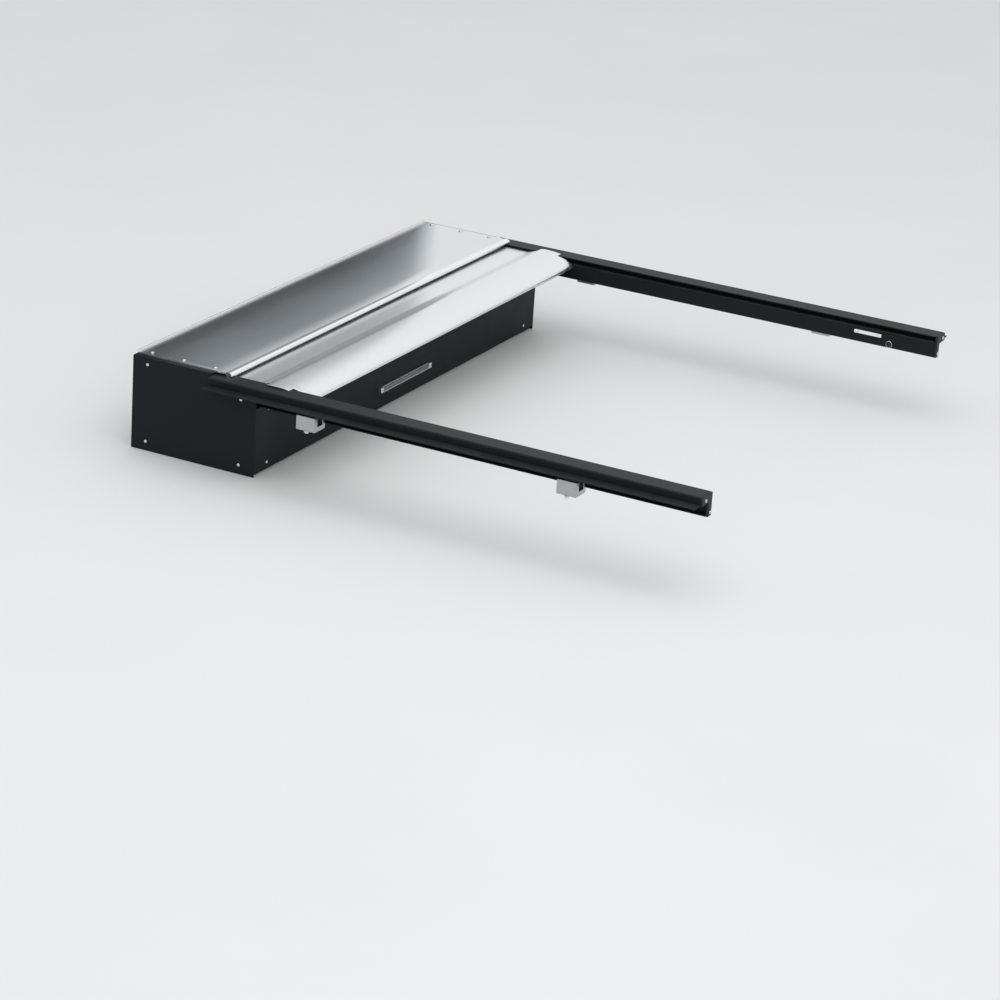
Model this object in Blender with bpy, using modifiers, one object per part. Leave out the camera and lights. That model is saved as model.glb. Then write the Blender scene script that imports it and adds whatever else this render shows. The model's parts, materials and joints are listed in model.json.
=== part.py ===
"""Retractable tonneau cover: a slatted curtain that rolls onto a motor drum in a canister.

The frame is metres, +X to the vehicle's right, +Y towards the cab and +Z up. The origin is midway between
the side rails, at the canister's front face, on the plane where the rails rest on the bed walls.
"""

import math

import bmesh
import bpy
from mathutils import Matrix, Vector

# Whole cover
GAP = 0.0003
RAIL_REAR_Y = -1.500
DECK_Z = 0.030

# Curtain
SLAT_PITCH = 0.060
SLAT_HALF_THICK = 0.004
SLAT_HALF_LENGTH = 0.706
SLAT_Z = 0.012
ROLLED_SLATS = 17
STRAIGHT_SLATS = 2
BEAD_RADIUS = 0.0016
NECK_HALF_THICK = 0.0007
SOCKET_INNER_RADIUS = 0.0020
SOCKET_OUTER_RADIUS = 0.0034
HINGE_BODY_GAP = 0.0042
SLAT_WALL = 0.0013

# Roll and drum
ROLL_OUTER_RADIUS = 0.0860
ROLL_TURN_SPACING = 0.0155
DRUM_Y = -0.099
DRUM_Z = SLAT_Z - ROLL_OUTER_RADIUS
DRUM_RADIUS = 0.030
DRUM_WALL = 0.002
DRUM_HALF_LENGTH = 0.700
MOTOR_RADIUS = 0.0225
MOTOR_END_X = -0.160
SHAFT_RADIUS = 0.008
SHAFT_LENGTH = 0.040
WHEEL_WIDTH = 0.025
IDLER_DEPTH = 0.050
PIN_DEPTH = 0.045
BRACKET_THICK = 0.004
BRACKET_HALF_DEPTH = 0.040
BRACKET_HALF_HEIGHT = 0.045
BRACKET_CORNER = 0.010

# Canister
CANISTER_DEPTH = 0.345
CANISTER_FLOOR_Z = -0.208
SHEET = 0.003
REAR_WALL_TOP_Z = 0.004
FOLD = 0.012
END_PLATE_X = 0.712
LID_HALF_LENGTH = 0.700
LID_THICK = 0.004
LID_REAR_Y = -0.250
LID_FRONT_Y = -0.0035
STRIP_RISE = 0.0035
STRIP_THICK = 0.0030
TRIM_REAR_Y = -0.2662
TRIM_BOTTOM_Z = 0.0219
TRIM_RISE = 0.0012
TRIM_ROUND = 0.0078
WIPER_YS = (-0.2585, -0.2525)
WIPER_LOW_Z = 0.0167
SCREW_X = 0.685
SCREW_YS = (-0.033, -0.123, -0.211)
SCREW_RADIUS = 0.0025
SCREW_HEAD_RADIUS = 0.0055

# Pull bar
APRON_FRONT_Y = -0.255
NOSE_FRONT_Y = -0.331
NOSE_CREST_Y = -0.375
NOSE_REAR_Y = -0.470
NOSE_CREST_Z = 0.026
NOSE_LOW_Z = 0.0
NOSE_WALL = 0.003
NOSE_HALF_LENGTH = 0.660
CAP_SIDE_X = 0.677
WING_SIDE_X = 0.698
WING_BOTTOM_Z = 0.0218
TONGUE_DEPTH = 0.012
TONGUE_HALF_THICK = 0.002
BLOCK_DEPTH = 0.017
BLOCK_LOW_Z = 0.006
LIP_DEPTH = 0.023
SEAL_RADIUS = 0.006
GLIDE_YS = (-0.425, -0.364)
GLIDE_ZS = (0.008, 0.0175)

# Side rails
RAIL_INNER_X = 0.683
RAIL_BLOCK_X = 0.735
RAIL_FLANGE_X = 0.765
RAIL_FRONT_Y = -0.222
RAIL_TOP_Z = 0.0215
RAIL_LIP_Z = 0.019
RAIL_FLOOR_Z = 0.003
RAIL_SKIRT_Z = -0.035
RAIL_WALL = 0.003
RAIL_RETURN = 0.017
SEAT_STEP = 0.0008
CHANNEL_BACK_X = 0.7095
RAIL_END_THICK = 0.006
CLAMP_YS = {"front": -0.500, "rear": -1.180}
CLAMP_LENGTH = 0.050
CLAMP_WIDTH = 0.048
CLAMP_LEG_THICK = 0.011
CLAMP_JAW_THICK = 0.013
CLAMP_JAW_Z = -0.008
CLAMP_LOW_Z = -0.046

# Fittings on the rails and the canister
CATCH_YS = (-1.355, -1.280)
CATCH_ZS = (-0.0120, -0.0030)
BUTTON_Y = -1.378
BUTTON_Z = -0.0245
BUTTON_RADIUS = 0.0070
BEZEL_RADIUS = 0.0090
LIGHT_HALF_LENGTH = 0.129
LIGHT_LOW_Z = -0.1575
LIGHT_HIGH_Z = -0.1455
LIGHT_DEPTH = 0.010
LIGHT_LIP_DEPTH = 0.004
LIGHT_BLOCK_WIDTH = 0.012
LENS_DEPTH = 0.007

SIDES = {"left": -1.0, "right": 1.0}

FINISHES = {
    "graphite": ((0.16, 0.17, 0.18, 1.0), 0.34, 0.9),
    "satin_silver": ((0.62, 0.63, 0.65, 1.0), 0.32, 0.9),
    "bright": ((0.86, 0.87, 0.88, 1.0), 0.16, 1.0),
    "black_metal": ((0.022, 0.024, 0.027, 1.0), 0.48, 0.5),
    "black_plastic": ((0.026, 0.027, 0.029, 1.0), 0.55, 0.0),
    "rubber": ((0.014, 0.014, 0.015, 1.0), 0.80, 0.0),
    "steel": ((0.55, 0.56, 0.58, 1.0), 0.30, 1.0),
    "motor_grey": ((0.30, 0.31, 0.32, 1.0), 0.45, 0.6),
    "lens": ((0.88, 0.90, 0.92, 1.0), 0.35, 0.0),
}


def clear_scene():
    for found in list(bpy.data.objects):
        bpy.data.objects.remove(found, do_unlink=True)


def new_collection(name):
    collection = bpy.data.collections.new(name)
    bpy.context.scene.collection.children.link(collection)
    return collection


def finish_material(node, finish):
    colour, roughness, metallic = FINISHES[finish]
    material = bpy.data.materials.new(f"{node}_{finish}")
    material.use_nodes = True
    shader = material.node_tree.nodes["Principled BSDF"]
    shader.inputs["Base Color"].default_value = colour
    shader.inputs["Roughness"].default_value = roughness
    shader.inputs["Metallic"].default_value = metallic
    material.diffuse_color = colour
    return material


def arc(centre, radius, start_deg, end_deg, steps):
    """Points along a circular arc, both ends included."""
    points = []
    for step in range(steps + 1):
        angle = math.radians(start_deg + (end_deg - start_deg) * step / steps)
        points.append((centre[0] + radius * math.cos(angle), centre[1] + radius * math.sin(angle)))
    return points


def circle(centre, radius, steps):
    return arc(centre, radius, 0.0, 360.0, steps)[:-1]


def rectangle(low, high):
    return [(low[0], low[1]), (high[0], low[1]), (high[0], high[1]), (low[0], high[1])]


def rounded_rectangle(low, high, radius, steps=3):
    """A rectangle outline whose four corners are arcs."""
    corners = [
        ((high[0] - radius, low[1] + radius), -90.0),
        ((high[0] - radius, high[1] - radius), 0.0),
        ((low[0] + radius, high[1] - radius), 90.0),
        ((low[0] + radius, low[1] + radius), 180.0),
    ]
    points = []
    for centre, start in corners:
        points.extend(arc(centre, radius, start, start + 90.0, steps))
    return points


def outline_mesh(name, loops, half_length):
    """A flat outline, with any inner loops as holes, extruded both ways along its normal."""
    curve = bpy.data.curves.new(name, "CURVE")
    curve.dimensions = "2D"
    curve.fill_mode = "BOTH"
    curve.extrude = half_length
    for loop in loops:
        spline = curve.splines.new("POLY")
        spline.points.add(len(loop) - 1)
        for point, (across, up) in zip(spline.points, loop):
            point.co = (across, up, 0.0, 1.0)
        spline.use_cyclic_u = True
    carrier = bpy.data.objects.new(f"{name}_carrier", curve)
    bpy.context.scene.collection.objects.link(carrier)
    bpy.context.view_layer.update()
    evaluated = carrier.evaluated_get(bpy.context.evaluated_depsgraph_get())
    mesh = bpy.data.meshes.new_from_object(evaluated)
    mesh.name = name
    bpy.data.objects.remove(carrier, do_unlink=True)
    weld_mesh(mesh)
    return mesh


def weld_mesh(mesh):
    """Joins the loose caps of an extruded outline to its sides."""
    work = bmesh.new()
    work.from_mesh(mesh)
    bmesh.ops.remove_doubles(work, verts=work.verts, dist=0.00001)
    bmesh.ops.recalc_face_normals(work, faces=work.faces)
    work.to_mesh(mesh)
    work.free()
    mesh.shade_smooth()
    mesh.set_sharp_from_angle(angle=math.radians(30.0))


# How an outline drawn in local X and Y lies in the frame, by the axis that it is extruded along.
ALONG = {
    "X": Matrix(((0, 0, 1), (1, 0, 0), (0, 1, 0))).to_euler(),
    "Y": Matrix(((1, 0, 0), (0, 0, -1), (0, 1, 0))).to_euler(),
}


class Builder:
    """Keeps the collections and adds each piece with its own material."""

    def __init__(self):
        self.pieces = new_collection("tonneau_cover")
        self.cutters = new_collection("cutters")
        self.root = self.carrier("cover_root", (0.0, 0.0, 0.0))
        self.curtain = self.carrier("curtain_slider", (0.0, APRON_FRONT_Y, SLAT_Z))
        self.drum = self.carrier("drum_axis", (0.0, DRUM_Y, DRUM_Z))
        self.button = self.carrier("button_axis", (RAIL_INNER_X, BUTTON_Y, BUTTON_Z))

    def carrier(self, name, place):
        """An empty on a joint's axis, which the pieces of that body hang from."""
        empty = bpy.data.objects.new(name, None)
        empty.location = place
        empty.empty_display_size = 0.05
        self.pieces.objects.link(empty)
        bpy.context.view_layer.update()
        return empty

    def add(self, name, mesh, finish, place=(0, 0, 0), turn=None, parent=None):
        piece = bpy.data.objects.new(name, mesh)
        piece.location = place
        if turn is not None:
            piece.rotation_euler = turn
        self.pieces.objects.link(piece)
        parent = parent or self.root
        piece.parent = parent
        piece.matrix_parent_inverse = parent.matrix_world.inverted()
        if finish is not None:
            piece.data.materials.clear()
            piece.data.materials.append(finish_material(name, finish))
        return piece

    def extrude(self, name, loops, axis, low, high, finish, parent=None):
        """A solid whose outline is in (y, z) for axis X, or (x, z) for axis Y."""
        middle = (low + high) / 2.0
        mesh = outline_mesh(name, loops, (high - low) / 2.0)
        place = (middle, 0.0, 0.0) if axis == "X" else (0.0, middle, 0.0)
        return self.add(name, mesh, finish, place, ALONG[axis], parent)

    def cutter(self, name, loops, axis, low, high):
        """A solid that only shapes another piece."""
        middle = (low + high) / 2.0
        tool = bpy.data.objects.new(name, outline_mesh(name, loops, (high - low) / 2.0))
        tool.location = (middle, 0.0, 0.0) if axis == "X" else (0.0, middle, 0.0)
        tool.rotation_euler = ALONG[axis]
        return self.keep_cutter(tool)

    def upright_cutter(self, name, centre, radius, low, high):
        """A vertical cylinder that drills a piece."""
        mesh = outline_mesh(name, [circle((0.0, 0.0), radius, 16)], (high - low) / 2.0)
        tool = bpy.data.objects.new(name, mesh)
        tool.location = (centre[0], centre[1], (low + high) / 2.0)
        return self.keep_cutter(tool)

    def keep_cutter(self, tool):
        tool.hide_render = True
        tool.display_type = "WIRE"
        self.cutters.objects.link(tool)
        return tool


def boolean(piece, tool, operation):
    modifier = piece.modifiers.new(f"{operation.lower()}_{tool.name}", "BOOLEAN")
    modifier.operation = operation
    modifier.object = tool
    modifier.solver = "EXACT"


def bevel(piece, width, segments=2):
    modifier = piece.modifiers.new("soft_edges", "BEVEL")
    modifier.width = width
    modifier.segments = segments
    modifier.limit_method = "ANGLE"
    modifier.angle_limit = math.radians(40.0)


def mirrored(loop, side):
    """An outline drawn for the right side, turned over for the left."""
    return [(side * across, up) for across, up in loop]


def span(side, inner, outer):
    """The low and high X of a stretch given by its distances from the centre plane."""
    return tuple(sorted((side * inner, side * outer)))


# ---------------------------------------------------------------- curtain


def slat_outline():
    """One slat's section: a bead on its front edge and the socket that holds the next bead on its rear."""
    half = SLAT_PITCH / 2.0
    thick = SLAT_HALF_THICK
    front = half - HINGE_BODY_GAP
    bead_angle = math.degrees(math.asin(NECK_HALF_THICK / BEAD_RADIUS))
    socket = (-half, 0.0)
    points = [(-half + 0.0032, -thick), (front - 0.0012, -thick), (front, -thick + 0.0012)]
    points.append((front, -NECK_HALF_THICK))
    points.extend(arc((half, 0.0), BEAD_RADIUS, -180.0 + bead_angle, 180.0 - bead_angle, 8))
    points.append((front, NECK_HALF_THICK))
    points.extend([(front, thick - 0.0008), (front - 0.0008, thick), (-half - 0.0018, thick)])
    points.append((-half - 0.0026, thick - 0.0007))
    points.extend(arc(socket, SOCKET_OUTER_RADIUS, 128.0, 148.0, 1))
    points.extend(arc(socket, SOCKET_INNER_RADIUS, 148.0, -80.0, 8))
    points.extend(arc(socket, SOCKET_OUTER_RADIUS, -80.0, -50.0, 1))
    return points


def slat_hollows():
    """Two hollows along the slat, with a web between them."""
    low_z = -SLAT_HALF_THICK + SLAT_WALL
    rear = -SLAT_PITCH / 2.0 + 0.0050
    front = SLAT_PITCH / 2.0 - HINGE_BODY_GAP - SLAT_WALL
    middle = (rear + front) / 2.0
    half_web = SLAT_WALL / 2.0
    rear_hollow = rectangle((rear, low_z), (middle - half_web, -low_z))
    front_hollow = rectangle((middle + half_web, low_z), (front, -low_z))
    return [rear_hollow, front_hollow]


def apron_hollows():
    """Three hollows along the flat part of the pull bar."""
    low_z = SLAT_Z - SLAT_HALF_THICK + SLAT_WALL
    high_z = SLAT_Z + SLAT_HALF_THICK - SLAT_WALL
    front = APRON_FRONT_Y - HINGE_BODY_GAP - SLAT_WALL
    rear = NOSE_FRONT_Y + GAP + 2.0 * SLAT_WALL
    width = (front - rear - 2.0 * SLAT_WALL) / 3.0
    starts = [rear + number * (width + SLAT_WALL) for number in range(3)]
    return [rectangle((start, low_z), (start + width, high_z)) for start in starts]


def spiral_hinges():
    """Hinge points of the rolled slats, from the top of the roll forwards, down and inwards."""
    def spot(turned):
        radius = ROLL_OUTER_RADIUS - ROLL_TURN_SPACING * turned / (2.0 * math.pi)
        return Vector((DRUM_Y + radius * math.sin(turned), DRUM_Z + radius * math.cos(turned)))

    turned = 0.0
    hinges = [spot(turned)]
    for _ in range(ROLLED_SLATS):
        low = turned
        high = turned + math.pi
        for _ in range(40):
            middle = (low + high) / 2.0
            if (spot(middle) - hinges[-1]).length < SLAT_PITCH:
                low = middle
            else:
                high = middle
        turned = high
        hinges.append(spot(turned))
    return hinges


def add_slats(build):
    """Straight slats in front of the pull bar, and the rest rolled on the drum."""
    mesh = outline_mesh("slat_section", [slat_outline(), *slat_hollows()], SLAT_HALF_LENGTH)
    mesh.materials.append(finish_material("slat", "graphite"))
    for number in range(STRAIGHT_SLATS):
        middle = APRON_FRONT_Y + SLAT_PITCH * (number + 0.5)
        build.add(f"straight_slat_{number + 1}", mesh, None, (0.0, middle, SLAT_Z), ALONG["X"], build.curtain)
    hinges = spiral_hinges()
    for number, (rear, front) in enumerate(zip(hinges, hinges[1:])):
        middle = (rear + front) / 2.0
        lean = math.atan2(front.y - rear.y, front.x - rear.x)
        turn = (Matrix.Rotation(lean, 3, "X") @ ALONG["X"].to_matrix()).to_euler()
        name = f"rolled_slat_{number + 1:02d}"
        build.add(name, mesh, None, (0.0, middle.x, middle.y), turn, build.drum)


def apron_outline():
    """The flat front part of the pull bar, with a bead in front and a tongue behind."""
    low = SLAT_Z - SLAT_HALF_THICK
    high = SLAT_Z + SLAT_HALF_THICK
    front = APRON_FRONT_Y - HINGE_BODY_GAP
    rear = NOSE_FRONT_Y + GAP
    bead_angle = math.degrees(math.asin(NECK_HALF_THICK / BEAD_RADIUS))
    points = [(rear, low), (front - 0.0010, low), (front, low + 0.0010), (front, SLAT_Z - NECK_HALF_THICK)]
    points.extend(arc((APRON_FRONT_Y, SLAT_Z), BEAD_RADIUS, -180.0 + bead_angle, 180.0 - bead_angle, 8))
    points.extend([(front, SLAT_Z + NECK_HALF_THICK), (front, high - 0.0008), (front - 0.0008, high)])
    tongue_low = SLAT_Z - TONGUE_HALF_THICK
    tongue_high = SLAT_Z + TONGUE_HALF_THICK
    points.extend([(rear, high), (rear, tongue_high), (rear - TONGUE_DEPTH, tongue_high)])
    points.extend([(rear - TONGUE_DEPTH, tongue_low), (rear, tongue_low)])
    return points


def nose_top(inset):
    """The nose's upper curve: a soft rise to the crest, then a quarter ellipse down to the rear edge."""
    start_z = SLAT_Z + SLAT_HALF_THICK + 0.0005
    points = []
    for step in range(7):
        share = step / 6.0
        rise = share * share * (3.0 - 2.0 * share)
        across = NOSE_FRONT_Y + (NOSE_CREST_Y - NOSE_FRONT_Y) * share
        points.append((across, start_z + (NOSE_CREST_Z - start_z) * rise - inset))
    reach = NOSE_CREST_Y - NOSE_REAR_Y - inset
    height = NOSE_CREST_Z - NOSE_LOW_Z - inset
    for step in range(1, 13):
        angle = math.radians(90.0 * step / 12.0)
        points.append((NOSE_CREST_Y - reach * math.sin(angle), NOSE_LOW_Z + height * math.cos(angle)))
    return points


def nose_groove():
    """The front face's groove, which takes the apron's tongue, from bottom to top."""
    deep = NOSE_FRONT_Y - TONGUE_DEPTH - 2.0 * GAP
    low = SLAT_Z - TONGUE_HALF_THICK - GAP
    high = SLAT_Z + TONGUE_HALF_THICK + GAP
    return [(NOSE_FRONT_Y, low), (deep, low), (deep, high), (NOSE_FRONT_Y, high)]


def nose_outline():
    """The nose's open section: a curved wall, a lower lip and a grooved front block."""
    block_rear = NOSE_FRONT_Y - BLOCK_DEPTH
    lip_z = NOSE_LOW_Z - NOSE_WALL
    points = nose_top(0.0)
    lip_front = NOSE_REAR_Y + LIP_DEPTH
    points.extend([(NOSE_REAR_Y, lip_z), (lip_front, lip_z), (lip_front, NOSE_LOW_Z)])
    inner = [point for point in nose_top(NOSE_WALL) if point[0] < block_rear]
    points.extend(reversed(inner))
    points.extend([(block_rear, BLOCK_LOW_Z), (NOSE_FRONT_Y, BLOCK_LOW_Z)])
    points.extend(nose_groove())
    return points


def cap_outline():
    """The end cap's section, which fills the nose's shape."""
    lip_z = NOSE_LOW_Z - NOSE_WALL
    points = nose_top(0.0)
    points.extend([(NOSE_REAR_Y, lip_z), (NOSE_CREST_Y - 0.015, lip_z)])
    points.extend([(NOSE_FRONT_Y - BLOCK_DEPTH, BLOCK_LOW_Z), (NOSE_FRONT_Y, BLOCK_LOW_Z)])
    points.extend(nose_groove())
    return points


def wing_outline():
    """The part of the nose's shape that stands above the rail's lip."""
    above = [point for point in nose_top(0.0) if point[1] > WING_BOTTOM_Z + 0.0002]
    return [(above[0][0], WING_BOTTOM_Z)] + above + [(above[-1][0], WING_BOTTOM_Z)]


def add_pull_bar(build):
    build.extrude("lead_apron", [apron_outline(), *apron_hollows()], "X",
                  -SLAT_HALF_LENGTH + 0.001, SLAT_HALF_LENGTH - 0.001, "satin_silver", build.curtain)
    build.extrude("lead_nose", [nose_outline()], "X", -NOSE_HALF_LENGTH, NOSE_HALF_LENGTH,
                  "satin_silver", build.curtain)
    seal_top = NOSE_LOW_Z - NOSE_WALL - GAP
    seal_y = NOSE_REAR_Y + 2.0 * SEAL_RADIUS
    seal = [(seal_y + SEAL_RADIUS + 0.001, seal_top)]
    seal.extend(arc((seal_y, seal_top - 0.001), SEAL_RADIUS, -10.0, -170.0, 8))
    seal.append((seal_y - SEAL_RADIUS - 0.001, seal_top))
    build.extrude("nose_seal", [seal], "X", -NOSE_HALF_LENGTH, NOSE_HALF_LENGTH, "rubber", build.curtain)
    for side_name, side in SIDES.items():
        low, high = span(side, NOSE_HALF_LENGTH + GAP, CAP_SIDE_X)
        cap = build.extrude(f"lead_cap_{side_name}", [cap_outline()], "X", low, high,
                            "satin_silver", build.curtain)
        low, high = span(side, CAP_SIDE_X - 0.004, WING_SIDE_X)
        boolean(cap, build.cutter(f"wing_{side_name}", [wing_outline()], "X", low, high), "UNION")
        low, high = span(side, CAP_SIDE_X - 0.004, SLAT_HALF_LENGTH - 0.001)
        glide = rectangle((GLIDE_YS[0], GLIDE_ZS[0]), (GLIDE_YS[1], GLIDE_ZS[1]))
        boolean(cap, build.cutter(f"glide_{side_name}", [glide], "X", low, high), "UNION")


# ---------------------------------------------------------------- drum and motor


def add_drum(build):
    centre = (DRUM_Y, DRUM_Z)
    inner = DRUM_RADIUS - DRUM_WALL
    build.extrude("drum_tube", [circle(centre, DRUM_RADIUS, 40), circle(centre, inner, 40)], "X",
                  -DRUM_HALF_LENGTH, DRUM_HALF_LENGTH, "steel", build.drum)
    shaft_hole = circle(centre, SHAFT_RADIUS + GAP, 24)
    build.extrude("drive_wheel", [circle(centre, inner - GAP, 40), shaft_hole], "X",
                  MOTOR_END_X + 0.012, MOTOR_END_X + 0.012 + WHEEL_WIDTH, "black_plastic", build.drum)
    build.extrude("idler_plug", [circle(centre, inner - GAP, 40), shaft_hole], "X",
                  DRUM_HALF_LENGTH - IDLER_DEPTH, DRUM_HALF_LENGTH, "black_plastic", build.drum)


def add_motor(build):
    """The tubular motor stands still inside the drum; only its output shaft meets the drive wheel."""
    centre = (DRUM_Y, DRUM_Z)
    bracket_x = END_PLATE_X - GAP
    plate_x = bracket_x - BRACKET_THICK
    motor = build.extrude("motor_body", [circle(centre, MOTOR_RADIUS, 32)], "X",
                          -plate_x + GAP, MOTOR_END_X, "motor_grey")
    shaft = build.cutter("motor_shaft", [circle(centre, SHAFT_RADIUS, 24)], "X",
                         MOTOR_END_X - 0.010, MOTOR_END_X + SHAFT_LENGTH)
    boolean(motor, shaft, "UNION")
    low = (DRUM_Y - BRACKET_HALF_DEPTH, DRUM_Z - BRACKET_HALF_HEIGHT)
    high = (DRUM_Y + BRACKET_HALF_DEPTH, DRUM_Z + BRACKET_HALF_HEIGHT)
    plate = rounded_rectangle(low, high, BRACKET_CORNER)
    build.extrude("motor_bracket", [plate], "X", -bracket_x, -plate_x, "steel")
    build.extrude("idler_bracket", [plate], "X", plate_x, bracket_x, "steel")
    build.extrude("idler_pin", [circle(centre, SHAFT_RADIUS, 24)], "X",
                  DRUM_HALF_LENGTH - PIN_DEPTH, plate_x - GAP, "steel")


# ---------------------------------------------------------------- canister


def add_shell(build):
    """The trough: front wall, floor and rear wall, notched where the rails' skirts come through."""
    rear = -CANISTER_DEPTH
    floor = CANISTER_FLOOR_Z
    top = DECK_Z - LID_THICK - GAP
    fold_middle = FOLD * 0.29
    outline = [(0.0, top), (-SHEET, top), (-SHEET, floor + SHEET + FOLD), (-SHEET - FOLD, floor + SHEET)]
    outline.extend([(rear + SHEET + FOLD, floor + SHEET), (rear + SHEET, floor + SHEET + FOLD)])
    outline.extend([(rear + SHEET, REAR_WALL_TOP_Z), (rear, REAR_WALL_TOP_Z), (rear, floor + FOLD)])
    outline.extend([(rear + fold_middle, floor + fold_middle), (rear + FOLD, floor)])
    outline.extend([(-FOLD, floor), (-fold_middle, floor + fold_middle), (0.0, floor + FOLD)])
    shell = build.extrude("canister_shell", [outline], "X", -END_PLATE_X + GAP, END_PLATE_X - GAP,
                          "black_metal")
    for side_name, side in SIDES.items():
        notch = rectangle((rear - 0.01, RAIL_SKIRT_Z - 0.002), (rear + 0.02, 0.02))
        low, high = span(side, RAIL_INNER_X - 0.002, END_PLATE_X + 0.01)
        boolean(shell, build.cutter(f"shell_notch_{side_name}", [notch], "X", low, high), "DIFFERENCE")


def add_end_plates(build):
    """A plate at each end with a flange under the lid, drilled for the lid screws."""
    rear = -CANISTER_DEPTH
    top = DECK_Z - LID_THICK - GAP
    step_y = RAIL_FRONT_Y + 0.0015
    outline = [(0.0, CANISTER_FLOOR_Z), (0.0, top), (step_y, top), (step_y, -GAP), (rear, -GAP)]
    outline.append((rear, CANISTER_FLOOR_Z))
    flange = rectangle((step_y, top - 0.003), (-SHEET - 0.001, top))
    for side_name, side in SIDES.items():
        low, high = span(side, END_PLATE_X, END_PLATE_X + SHEET)
        plate = build.extrude(f"end_plate_{side_name}", [outline], "X", low, high, "black_metal")
        low, high = span(side, SCREW_X - 0.012, END_PLATE_X + 0.001)
        boolean(plate, build.cutter(f"flange_{side_name}", [flange], "X", low, high), "UNION")
        for number, screw_y in enumerate(SCREW_YS):
            drill = build.upright_cutter(f"flange_drill_{side_name}_{number + 1}", (side * SCREW_X, screw_y),
                                         SCREW_RADIUS + GAP, top - 0.006, top + 0.002)
            boolean(plate, drill, "DIFFERENCE")


def screw_mesh():
    """A pan-head screw, head up, with the underside of its head at the local origin."""
    mesh = bpy.data.meshes.new("lid_screw")
    profile = [(0.0, 0.0026), (0.0032, 0.0023), (0.0050, 0.0013), (SCREW_HEAD_RADIUS, 0.0)]
    profile.extend([(SCREW_RADIUS, 0.0), (SCREW_RADIUS, -0.0070), (0.0, -0.0080)])
    edges = [(index, index + 1) for index in range(len(profile) - 1)]
    mesh.from_pydata([(radius, 0.0, height) for radius, height in profile], edges, [])
    return mesh


def add_lid(build):
    low_z = DECK_Z - LID_THICK
    panel = rounded_rectangle((LID_REAR_Y, low_z), (LID_FRONT_Y, DECK_Z), 0.0012, 2)
    lid = build.extrude("lid", [panel], "X", -LID_HALF_LENGTH, LID_HALF_LENGTH, "graphite")
    strip_top = DECK_Z + STRIP_RISE
    strip = [(0.0, low_z + GAP), (0.0, strip_top - 0.0008), (-0.0008, strip_top), (-0.0022, strip_top)]
    strip.extend([(-STRIP_THICK, strip_top - 0.0008), (-STRIP_THICK, DECK_Z + 0.001)])
    strip.append((LID_FRONT_Y + GAP, low_z + GAP))
    build.extrude("lid_front_strip", [strip], "X", -LID_HALF_LENGTH, LID_HALF_LENGTH, "bright")
    trim_front = LID_REAR_Y - GAP
    trim_top = DECK_Z + TRIM_RISE
    trim = [(trim_front, TRIM_BOTTOM_Z), (trim_front, trim_top - 0.0008), (trim_front - 0.0008, trim_top)]
    trim.extend(arc((TRIM_REAR_Y + TRIM_ROUND, trim_top - TRIM_ROUND), TRIM_ROUND, 90.0, 180.0, 8))
    trim.append((TRIM_REAR_Y + 0.0008, TRIM_BOTTOM_Z))
    build.extrude("lid_rear_trim", [trim], "X", -LID_HALF_LENGTH, LID_HALF_LENGTH, "bright")
    wiper_top = TRIM_BOTTOM_Z - GAP
    rear, front = WIPER_YS
    wiper = [(rear, wiper_top), (front, wiper_top), (front, WIPER_LOW_Z + 0.0015)]
    wiper.extend([(front - 0.0025, WIPER_LOW_Z), (rear + 0.0020, WIPER_LOW_Z)])
    build.extrude("mouth_wiper", [wiper], "X", -RAIL_INNER_X + 0.002, RAIL_INNER_X - 0.002, "rubber")
    for side_name, side in SIDES.items():
        for number, screw_y in enumerate(SCREW_YS):
            label = f"{side_name}_{number + 1}"
            centre = (side * SCREW_X, screw_y)
            drill = build.upright_cutter(f"lid_drill_{label}", centre, SCREW_RADIUS + GAP,
                                         low_z - 0.002, DECK_Z + 0.002)
            boolean(lid, drill, "DIFFERENCE")
            screw = build.add(f"lid_screw_{label}", screw_mesh(), "steel", (*centre, DECK_Z + GAP))
            turned = screw.modifiers.new("turned", "SCREW")
            turned.steps = 16
            turned.render_steps = 16
            turned.use_merge_vertices = True
            turned.merge_threshold = 0.00001


def add_light_bar(build):
    """A slim extrusion on the canister's rear wall with a lower lip and a frosted lens."""
    back = -CANISTER_DEPTH - GAP
    low = LIGHT_LOW_Z
    high = LIGHT_HIGH_Z
    base = back - 0.002
    lip = back - LIGHT_LIP_DEPTH
    housing = [(back, low), (back, high), (lip, high), (lip, high - 0.0015)]
    housing.extend([(base, high - 0.0022), (base, low + 0.002), (back - LIGHT_DEPTH, low + 0.002)])
    housing.append((back - LIGHT_DEPTH, low))
    bar = build.extrude("light_housing", [housing], "X", -LIGHT_HALF_LENGTH, LIGHT_HALF_LENGTH,
                        "satin_silver")
    for side_name, side in SIDES.items():
        block = rounded_rectangle((back - LIGHT_DEPTH + 0.001, low + 0.001), (back - 0.001, high), 0.002)
        start, end = span(side, LIGHT_HALF_LENGTH - LIGHT_BLOCK_WIDTH, LIGHT_HALF_LENGTH)
        boolean(bar, build.cutter(f"light_block_{side_name}", [block], "X", start, end), "UNION")
    lens_low = low + 0.002 + GAP
    lens = [(base - GAP, lens_low), (base - GAP, high - 0.0028), (lip, high - 0.0034)]
    lens.extend([(back - LENS_DEPTH + 0.0005, low + 0.0055), (back - LENS_DEPTH, lens_low)])
    lens_end = LIGHT_HALF_LENGTH - LIGHT_BLOCK_WIDTH - GAP
    build.extrude("light_lens", [lens], "X", -lens_end, lens_end, "lens")


# ---------------------------------------------------------------- side rails


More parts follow.
